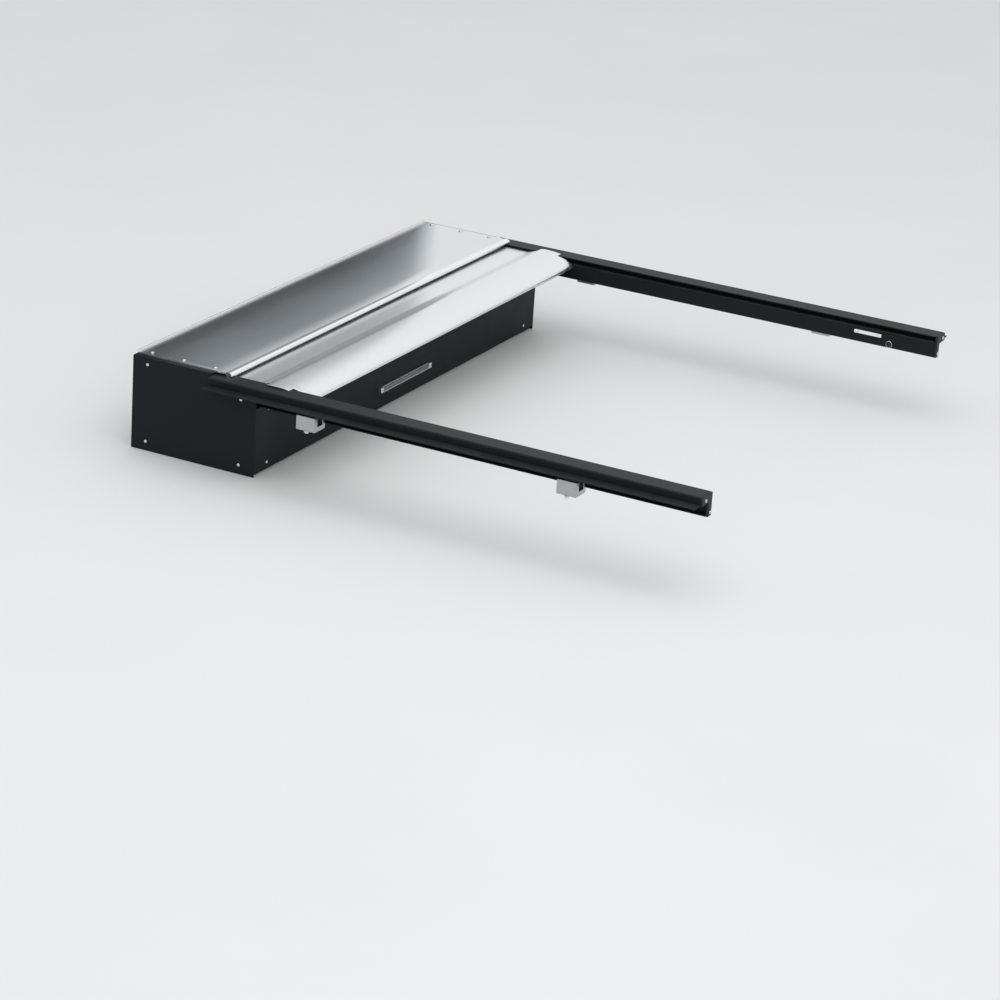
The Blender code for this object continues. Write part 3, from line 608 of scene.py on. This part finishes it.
def slat_outline():
    """One slat's section about its middle: a bead in front and the socket for the next bead behind."""
    half = SLAT_PITCH / 2.0
    lowest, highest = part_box("straight_slat_1")
    thick = (highest.z - lowest.z) / 2.0
    front = half - HINGE_BODY_GAP
    bead_angle = math.degrees(math.asin(NECK_HALF_THICK / BEAD_RADIUS))
    low_round = SLAT_LOW_ROUND
    top_round = SLAT_TOP_ROUND
    points = [(-half + SOCKET_REACH, -thick)]
    points.extend(arc((front - low_round, -thick + low_round), low_round, -90.0, 0.0, 3))
    points.append((front, -NECK_HALF_THICK))
    points.extend(arc((half, 0.0), BEAD_RADIUS, -180.0 + bead_angle, 180.0 - bead_angle, 10))
    points.append((front, NECK_HALF_THICK))
    points.extend(arc((front - top_round, thick - top_round), top_round, 0.0, 90.0, 4))
    points.extend(arc((-half - SLAT_OVERHANG, thick - top_round), top_round, 90.0, 175.0, 4))
    points.extend(arc((-half, 0.0), SOCKET_OUTER_RADIUS, SOCKET_LIP_DEG, SOCKET_TOP_DEG, 1))
    points.extend(arc((-half, 0.0), SOCKET_INNER_RADIUS, SOCKET_TOP_DEG, SOCKET_LOW_DEG, 10))
    points.extend(arc((-half, 0.0), SOCKET_OUTER_RADIUS, SOCKET_LOW_DEG, SOCKET_FOOT_DEG, 2))
    return points


def front_hinge(name):
    """Where the slat's front bead turns, in Y."""
    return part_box(name)[1].y - BEAD_RADIUS


def make_straight_slats(material):
    for name in ("straight_slat_1", "straight_slat_2"):
        lowest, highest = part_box(name)
        middle_y = front_hinge(name) - SLAT_PITCH / 2.0
        middle_z = (lowest.z + highest.z) / 2.0
        outline = [(across + middle_y, up + middle_z) for across, up in slat_outline()]
        work = bmesh.new()
        add_prism(work, outline, (lowest.x, highest.x), along_x)
        slat = finished_piece(f"{name}_section", work, material)
        flatten_shading(slat)
        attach(slat, "curtain")
        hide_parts(name)


def make_curtain_web(material):
    """The slats off the roll, gathered out of sight at rest: each point lies where a shift that grows smoothly
    along the web to the full travel carries it from its place in the shut cover.
    """
    travel = next(joint for joint in frame["joints"] if joint["name"] == "curtain_slide")["range_m"][1]
    lowest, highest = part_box("straight_slat_2")
    middle_z = (lowest.z + highest.z) / 2.0
    hinge_y = front_hinge("straight_slat_2")
    end_y = hinge_y + GAP

    def gathered(drawn_y):
        """Where at rest a point lies that is at drawn_y when the cover is shut."""
        low = hinge_y - SLAT_PITCH
        high = WEB_START_Y
        for _ in range(HALVINGS):
            guess = (low + high) / 2.0
            share = smoothstep((guess - WEB_START_Y) / (end_y - WEB_START_Y))
            if guess - share * travel < drawn_y:
                low = guess
            else:
                high = guess
        return high

    work = bmesh.new()
    for number in range(WEB_SLATS):
        centre = hinge_y - travel + SLAT_PITCH * (number + 0.5)
        outline = [(gathered(across + centre), up + middle_z) for across, up in slat_outline()]
        add_prism(work, outline, (lowest.x, highest.x), along_x)
    web = finished_piece("curtain_web", work, material)
    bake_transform(web)


# ---------------------------------------------------------------- pull bar


def nose_top(inset, steps):
    """The nose's upper curve: a soft rise to the crest, then a quarter ellipse down to the rear edge."""
    lowest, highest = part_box("lead_nose")
    apron_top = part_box("lead_apron")[1].z
    lip_z = lowest.z + NOSE_WALL
    crest_y = highest.y - NOSE_RISE
    points = []
    for step in range(steps + 1):
        share = step / steps
        base = apron_top + NOSE_STEP
        points.append((highest.y - NOSE_RISE * share, base + (highest.z - base) * smoothstep(share) - inset))
    reach = crest_y - lowest.y - inset
    height = highest.z - lip_z - inset
    for step in range(1, 2 * steps + 1):
        angle = math.radians(90.0 * step / (2 * steps))
        points.append((crest_y - reach * math.sin(angle), lip_z + height * math.cos(angle)))
    return points


def nose_groove():
    """The groove in the front face that takes the apron's tongue, from bottom to top."""
    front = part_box("lead_nose")[1].y
    lowest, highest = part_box("lead_apron")
    middle = (lowest.z + highest.z) / 2.0
    deep = front - TONGUE_DEPTH - 2.0 * GAP
    half = TONGUE_HALF_THICK + GAP
    return [(front, middle - half), (deep, middle - half), (deep, middle + half), (front, middle + half)]


def make_nose(material):
    """The rounded rear edge of the cover, an open section with a rolled lower lip."""
    lowest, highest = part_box("lead_nose")
    lip_z = lowest.z + NOSE_WALL
    block_rear = highest.y - BLOCK_DEPTH
    lip_front = lowest.y + LIP_DEPTH
    outer = nose_top(0.0, NOSE_STEPS)
    outer.extend(arc((lowest.y + LIP_ROUND, lowest.z + LIP_ROUND), LIP_ROUND, 180.0, 270.0, 4))
    outer.extend(arc((lip_front - LIP_ROUND, lowest.z + LIP_ROUND), LIP_ROUND, -90.0, 0.0, 3))
    outer.append((lip_front, lip_z))
    inner = [point for point in nose_top(NOSE_WALL, NOSE_STEPS) if point[0] < block_rear]
    block_low = nose_groove()[0][1] - BLOCK_BELOW_GROOVE
    outline = outer + inner[::-1] + [(block_rear, block_low), (highest.y, block_low)] + nose_groove()
    work = bmesh.new()
    add_prism(work, outline, (lowest.x, highest.x), along_x)
    nose = finished_piece("nose_section", work, material)
    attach(nose, "curtain")
    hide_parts("lead_nose")


def make_wing_shade_strips(material):
    """A black rubber strip along the outer edge of each wing, painted shade: a dark stand-in for the shadowed
    slit between wing and rail.
    """
    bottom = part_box("rail_left")[1].z + 2.0 * GAP
    top = bottom + WING_STRIP_HEIGHT
    arched = [(y, min(z, top)) for y, z in nose_top(0.0, NOSE_STEPS) if z > bottom + WING_STRIP_LOWEST]
    outline = [(arched[0][0], bottom), *arched, (arched[-1][0], bottom)]
    for side_name, side in SIDES.items():
        sections = sorted((side * (WING_SIDE_X + GAP), side * (WING_SIDE_X + WING_STRIP_THICK)))
        work = bmesh.new()
        add_prism(work, outline, sections, along_x)
        strip = finished_piece(f"wing_shade_strip_{side_name}", work, material)
        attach(strip, "curtain")


# ---------------------------------------------------------------- fastenings


def pan_head(radius, height, socket, depth, shank_radius, shank_length):
    """Rings of a pan-head screw with a hexagon socket, its underside at height 0."""
    rings = [(shank_radius * 0.6, -shank_length, 0), (shank_radius, -shank_length + shank_radius * 0.5, 0)]
    rings.extend([(shank_radius, 0.0, 0), (radius * 0.985, 0.0, 0), (radius, height * 0.10, 0)])
    for step in range(1, 7):
        angle = math.radians(15.0 * step)
        flat = socket * 1.35
        rings.append((flat + (radius - flat) * math.cos(angle), height * (0.10 + 0.90 * math.sin(angle)), 0))
    rings.extend([(socket * 1.08, height, 6), (socket, height - depth * 0.12, 6)])
    rings.extend([(socket, height - depth, 6), (socket * 0.3, height - depth * 1.15, 6)])
    return rings


def hex_bolt(flat_radius, height, washer_radius, washer_height):
    """Rings of a hexagon bolt on a washer, its washer's underside at height 0."""
    rim = washer_radius - WASHER_CHAMFER
    top = washer_height + height
    rings = [(washer_radius * 0.5, 0.0, 0), (rim, 0.0, 0), (washer_radius, WASHER_CHAMFER, 0)]
    rings.extend([(washer_radius, washer_height - WASHER_CHAMFER, 0), (rim, washer_height, 0)])
    rings.extend([(flat_radius * 0.97, washer_height, 6), (flat_radius, washer_height + BOLT_CHAMFER, 6)])
    rings.extend([(flat_radius, top - BOLT_CROWN, 6), (flat_radius * 0.98, top - BOLT_CHAMFER, 0)])
    rings.extend([(flat_radius * 0.90, top, 0), (flat_radius * 0.3, top, 0)])
    return rings


def make_lid_screws(material):
    for side_name in SIDES:
        for number in (1, 2, 3):
            node = f"lid_screw_{side_name}_{number}"
            lowest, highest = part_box(node)
            middle = (lowest + highest) / 2.0
            head_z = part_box("lid")[1].z + GAP
            work = bmesh.new()
            turn = Matrix.Rotation(math.radians(SCREW_TURN_DEG * number), 4, "Z")
            place = Matrix.Translation((middle.x, middle.y, head_z)) @ turn
            radius = (highest.x - lowest.x) / 2.0
            rings = pan_head(radius, highest.z - head_z, *LID_SCREW)
            add_turned(work, rings, SCREW_SIDES, place)
            screw = finished_piece(f"{node}_head", work, material)
            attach(screw, "frame")
            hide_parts(node)


def make_case_screws(material):
    """Small screws in the end plates, the canister's rear wall and the rails' end caps."""
    lowest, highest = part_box("canister_shell")
    spots = {}
    for side_name, side in SIDES.items():
        plate_x = side * (highest.x + PLATE_OUTER_STEP + GAP)
        for number, (share, height) in enumerate(PLATE_SCREW_SHARES, 1):
            y = highest.y + (lowest.y - highest.y) * share
            z = lowest.z + (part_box(f"end_plate_{side_name}")[1].z - lowest.z) * height
            spots[f"plate_screw_{side_name}_{number}"] = ((side, 0.0, 0.0), (plate_x, y, z))
        cap_low, cap_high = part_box(f"rail_end_{side_name}")
        skirt_x = side * (min(abs(cap_low.x), abs(cap_high.x)) + CAP_SKIRT_IN)
        block_x = side * (max(abs(cap_low.x), abs(cap_high.x)) - CAP_BLOCK_IN)
        cap_spots = ((skirt_x, cap_low.z + CAP_SCREW_RISE), (block_x, cap_high.z - CAP_SCREW_DROP))
        for number, (x, z) in enumerate(cap_spots, 1):
            spots[f"end_cap_screw_{side_name}_{number}"] = ((0.0, -1.0, 0.0), (x, cap_low.y - GAP, z))
        for number, drop in enumerate(WALL_SCREW_DROPS, 1):
            place = (side * (highest.x - WALL_SCREW_IN), lowest.y - GAP, -drop)
            spots[f"wall_screw_{side_name}_{number}"] = ((0.0, -1.0, 0.0), place)
    rings = pan_head(CASE_SCREW_RADIUS, CASE_SCREW_HEIGHT, *CASE_SCREW)
    for name, (direction, place) in spots.items():
        work = bmesh.new()
        add_turned(work, rings, CASE_SCREW_SIDES, pointing(direction, place))
        screw = finished_piece(name, work, material)
        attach(screw, "frame")


def make_clamps(finishes):
    """Each bed clamp: a rounded arm with a jaw pad, drawn up by a hexagon bolt from below."""
    for place in ("front", "rear"):
        for side_name, side in SIDES.items():
            node = f"clamp_{place}_{side_name}"
            lowest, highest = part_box(node)
            inner = min(abs(lowest.x), abs(highest.x))
            outer = max(abs(lowest.x), abs(highest.x))
            leg = inner + CLAMP_LEG_THICK
            jaw = outer - CLAMP_JAW_THICK
            jaw_top = CLAMP_JAW_Z - PAD_SINK
            corners = [(inner, highest.z), (leg, highest.z), (leg, CLAMP_BASE_Z), (jaw, CLAMP_BASE_Z)]
            corners.extend([(jaw, jaw_top), (outer, jaw_top), (outer, lowest.z), (inner, lowest.z)])
            outline = [(side * across, up) for across, up in rounded(corners, CLAMP_ROUND)]
            work = bmesh.new()
            add_prism(work, outline, (lowest.y, highest.y), along_y)
            arm = finished_piece(f"{node}_arm", work, finishes["steel"])
            soften(arm, CLAMP_EDGE)
            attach(arm, "frame")
            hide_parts(node)

            middle = Vector((side * (jaw + outer) / 2.0, (lowest.y + highest.y) / 2.0, 0.0))
            work = bmesh.new()
            under = pointing((0.0, 0.0, -1.0), (middle.x, middle.y, lowest.z - GAP))
            add_turned(work, hex_bolt(*CLAMP_BOLT), SCREW_SIDES, under)
            bolt = finished_piece(f"{node}_bolt", work, finishes["screw"])
            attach(bolt, "frame")

            work = bmesh.new()
            seat = Matrix.Translation((middle.x, middle.y, CLAMP_JAW_Z))
            add_turned(work, CLAMP_PAD, SCREW_SIDES, seat)
            cushion = finished_piece(f"{node}_pad", work, finishes["rubber"])
            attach(cushion, "frame")


def make_catch_plates(finishes):
    """The bright plates near the tailgate, each held by two countersunk screws."""
    for side_name, side in SIDES.items():
        node = f"catch_plate_{side_name}"
        lowest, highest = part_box(node)
        corners = [(lowest.y, lowest.z), (highest.y, lowest.z), (highest.y, highest.z), (lowest.y, highest.z)]
        work = bmesh.new()
        add_prism(work, rounded(corners, CATCH_ROUND), (lowest.x, highest.x), along_x)
        plate = finished_piece(f"{node}_strip", work, finishes["bright"])
        soften(plate, CATCH_EDGE)
        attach(plate, "frame")
        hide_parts(node)
        face_x = side * min(abs(lowest.x), abs(highest.x))
        for number, share in enumerate(CATCH_SCREW_SHARES, 1):
            spot = (face_x, lowest.y + (highest.y - lowest.y) * share, (lowest.z + highest.z) / 2.0)
            work = bmesh.new()
            add_turned(work, CATCH_SCREW, CASE_SCREW_SIDES, pointing((-side, 0.0, 0.0), spot))
            screw = finished_piece(f"{node}_screw_{number}", work, finishes["screw"])
            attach(screw, "frame")


def make_button(finishes):
    """The push button: a rolled steel ring and a shallow domed cap."""
    lowest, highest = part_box("button_bezel")
    middle_y = (lowest.y + highest.y) / 2.0
    middle_z = (lowest.z + highest.z) / 2.0
    seat = pointing((-1.0, 0.0, 0.0), (highest.x, middle_y, middle_z))
    outer = (highest.y - lowest.y) / 2.0
    inner = BUTTON_RING_INNER
    proud = highest.x - lowest.x
    section = [(inner, 0.0), (outer, 0.0), (outer, proud * BUTTON_RING_WALL)]
    bend = (outer - BUTTON_RING_ROUND, proud - BUTTON_RING_DROP)
    section.extend(arc(bend, BUTTON_RING_ROUND, 10.0, 90.0, 4))
    section.extend([(inner + BUTTON_CHAMFER, proud - BUTTON_CHAMFER), (inner, proud - BUTTON_RING_ROUND)])
    work = bmesh.new()
    add_ring(work, section, BUTTON_SIDES, seat)
    ring = finished_piece("button_ring", work, finishes["screw"])
    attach(ring, "frame")
    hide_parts("button_bezel")

    lowest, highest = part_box("button_cap")
    radius = (highest.y - lowest.y) / 2.0
    length = highest.x - lowest.x
    seat = pointing((-1.0, 0.0, 0.0), (highest.x, middle_y, middle_z))
    shoulder = length - BUTTON_SHOULDER
    rings = [(radius * 0.5, 0.0, 0), (radius, BUTTON_CHAMFER, 0), (radius, shoulder, 0)]
    for angle in (20.0, 45.0, 70.0, 88.0):
        spread = math.radians(angle)
        edge = radius - BUTTON_DOME + BUTTON_DOME * math.cos(spread)
        rings.append((edge, shoulder + BUTTON_EDGE_RISE * math.sin(spread), 0))
    for share in (0.75, 0.5, 0.25, 0.08):
        rings.append((radius * share * BUTTON_DOME_SPREAD, length - BUTTON_DOME * share**2, 0))
    work = bmesh.new()
    add_turned(work, rings, BUTTON_SIDES, seat)
    cap = finished_piece("button_dome", work, finishes["plastic"])
    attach(cap, "button")
    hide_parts("button_cap")


# ---------------------------------------------------------------- bed light


def make_light_lens(material):
    """The bed light's lens, with shallow flutes across it."""
    lowest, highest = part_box("light_lens")
    depth = highest.y - lowest.y
    height = highest.z - lowest.z
    back = highest.y
    outline = [(back - depth * inward, lowest.z + height * rise) for inward, rise in LENS_SECTION]
    steps = FLUTE_STEPS * round((highest.x - lowest.x) / FLUTE_WIDTH)
    sections = [lowest.x + (highest.x - lowest.x) * step / steps for step in range(steps + 1)]

    def fluted(across, up, section):
        wave = abs(math.sin(math.pi * (section - lowest.x) / FLUTE_WIDTH))
        share = (back - across) / depth
        return (section, across - FLUTE_SHARE * depth * wave * share, up)

    work = bmesh.new()
    add_prism(work, rounded(outline, LENS_ROUND, 2), sections, fluted)
    lens = finished_piece("fluted_lens", work, material)
    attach(lens, "frame")
    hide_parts("light_lens")


# ---------------------------------------------------------------- stage, light and camera


def stage_plane(name, corners, material):
    work = bmesh.new()
    work.faces.new([work.verts.new(corner) for corner in corners])
    mesh = bpy.data.meshes.new(name)
    work.to_mesh(mesh)
    work.free()
    mesh.materials.append(material)
    plane = bpy.data.objects.new(name, mesh)
    bpy.context.scene.collection.objects.link(plane)
    return plane


def make_floor():
    finish = Finish("pale_floor", (0.66, 0.66, 0.66), 0.80)
    mottle = finish.noise((1.5, 1.5, 1.5), detail=4.0)
    finish.set_colour(finish.tone(finish.ranged(mottle, 0.0, 1.0), 0.985, 1.01))
    floor_z = CAD_BOX[0].z - FLOOR_DROP
    corners = [(FLOOR_REACH * x, FLOOR_REACH * y, floor_z) for x, y in ((-1, -1), (1, -1), (1, 1), (-1, 1))]
    stage_plane("floor", corners, finish.material)


def make_cab_reflection_card():
    """A glowing card where the cab's back would stand, a painted reflection for the metal: dark and tinted
    blue low down on the left, brightening towards the top and to white at the right. Only the metal's
    reflections see it.
    """
    left = CAD_BOX[0].x - CARD_MARGIN
    right = CAD_BOX[1].x + CARD_MARGIN
    material = bpy.data.materials.new("cab_reflection_card")
    material.use_nodes = True
    nodes = material.node_tree.nodes
    links = material.node_tree.links
    nodes.remove(nodes["Principled BSDF"])
    glow = nodes.new("ShaderNodeEmission")
    place = nodes.new("ShaderNodeTexCoord")
    split = nodes.new("ShaderNodeSeparateXYZ")
    links.new(place.outputs["Object"], split.inputs["Vector"])
    # Painted reflection: the card's glow rises with height and towards the right, tinted blue where it is dark
    upward = card_fade(nodes, links, split.outputs["Z"], CARD_HEIGHTS, CARD_UPWARD_LEVELS)
    sideways = card_fade(nodes, links, split.outputs["X"], (*CARD_SIDE_STARTS, right), CARD_SIDE_LEVELS)
    total = nodes.new("ShaderNodeMath")
    total.operation = "ADD"
    total.use_clamp = True
    links.new(upward, total.inputs[0])
    links.new(sideways, total.inputs[1])
    links.new(total.outputs["Value"], glow.inputs["Strength"])
    tint = nodes.new("ShaderNodeMix")
    tint.data_type = "RGBA"
    tint.inputs["A"].default_value = CARD_DARK_TINT
    tint.inputs["B"].default_value = (1.0, 1.0, 1.0, 1.0)
    links.new(total.outputs["Value"], tint.inputs["Factor"])
    links.new(tint.outputs["Result"], glow.inputs["Color"])
    links.new(glow.outputs["Emission"], nodes["Material Output"].inputs["Surface"])
    card_y = CAD_BOX[1].y + CARD_BEHIND
    corners = [(left, card_y, CARD_LOW_Z), (right, card_y, CARD_LOW_Z)]
    corners.extend([(right, card_y, CARD_HIGH_Z), (left, card_y, CARD_HIGH_Z)])
    card = stage_plane("cab_reflection_card", corners, material)
    card.visible_camera = False
    card.visible_diffuse = False
    card.visible_shadow = False
    card.visible_transmission = False


def card_fade(nodes, links, value, stops, levels):
    """A brightness that runs through three levels at three places."""
    first = nodes.new("ShaderNodeMapRange")
    second = nodes.new("ShaderNodeMapRange")
    for fade, start, end, low, high in (
        (first, stops[0], stops[1], levels[0], levels[1]),
        (second, stops[1], stops[2], 0.0, levels[2] - levels[1]),
    ):
        fade.inputs["From Min"].default_value = start
        fade.inputs["From Max"].default_value = end
        fade.inputs["To Min"].default_value = low
        fade.inputs["To Max"].default_value = high
        links.new(value, fade.inputs["Value"])
    joined = nodes.new("ShaderNodeMath")
    joined.operation = "ADD"
    links.new(first.outputs["Result"], joined.inputs[0])
    links.new(second.outputs["Result"], joined.inputs[1])
    return joined.outputs["Value"]


def make_lights():
    """A white studio, a little brighter overhead than at the horizon, and two large soft lights."""
    world = bpy.data.worlds.new("studio")
    bpy.context.scene.world = world
    world.use_nodes = True
    nodes = world.node_tree.nodes
    links = world.node_tree.links
    place = nodes.new("ShaderNodeTexCoord")
    split = nodes.new("ShaderNodeSeparateXYZ")
    rise = nodes.new("ShaderNodeMapRange")
    rise.inputs["To Min"].default_value = HORIZON_STRENGTH
    rise.inputs["To Max"].default_value = ZENITH_STRENGTH
    links.new(place.outputs["Generated"], split.inputs["Vector"])
    links.new(split.outputs["Z"], rise.inputs["Value"])
    links.new(rise.outputs["Result"], nodes["Background"].inputs["Strength"])
    nodes["Background"].inputs["Color"].default_value = STUDIO_TINT
    add_area_light("overhead", (-1.0, -1.5, 4.0), LIGHT_AIM, size=5.0, power=60.0)
    side_fill = add_area_light("side_fill", (-5.0, -3.5, 2.5), LIGHT_AIM, size=3.0, power=35.0)
    side_fill.visible_glossy = False


def add_area_light(name, place, aim, size, power):
    light = bpy.data.lights.new(name, "AREA")
    light.shape = "DISK"
    light.size = size
    light.energy = power
    lamp = bpy.data.objects.new(name, light)
    lamp.location = place
    lamp.rotation_euler = (Vector(aim) - Vector(place)).to_track_quat("-Z", "Y").to_euler()
    bpy.context.scene.collection.objects.link(lamp)
    return lamp


def make_camera():
    azimuth = math.radians(CAMERA_AZIMUTH)
    elevation = math.radians(CAMERA_ELEVATION)
    back = Vector((math.sin(azimuth) * math.cos(elevation), -math.cos(azimuth) * math.cos(elevation),
                   math.sin(elevation)))
    data = bpy.data.cameras.new("photo_camera")
    data.lens = CAMERA_LENS
    camera = bpy.data.objects.new("photo_camera", data)
    camera.location = CAMERA_AIM + back * CAMERA_DISTANCE
    roll = Matrix.Rotation(math.radians(CAMERA_ROLL), 4, "Z").to_quaternion()
    camera.rotation_mode = "QUATERNION"
    camera.rotation_quaternion = (-back).to_track_quat("-Z", "Y") @ roll
    bpy.context.scene.collection.objects.link(camera)
    bpy.context.scene.camera = camera
    bpy.context.scene.view_settings.view_transform = "Standard"


def main():
    finishes = make_finishes()
    dress_carried_nodes(finishes)
    make_straight_slats(finishes["slat"])
    make_curtain_web(finishes["slat"])
    make_nose(finishes["silver"])
    make_wing_shade_strips(finishes["rubber"])
    make_lid_screws(finishes["screw"])
    make_case_screws(finishes["screw"])
    make_clamps(finishes)
    make_catch_plates(finishes)
    make_button(finishes)
    make_light_lens(finishes["lens"])
    make_floor()
    make_cab_reflection_card()
    make_lights()
    make_camera()


main()
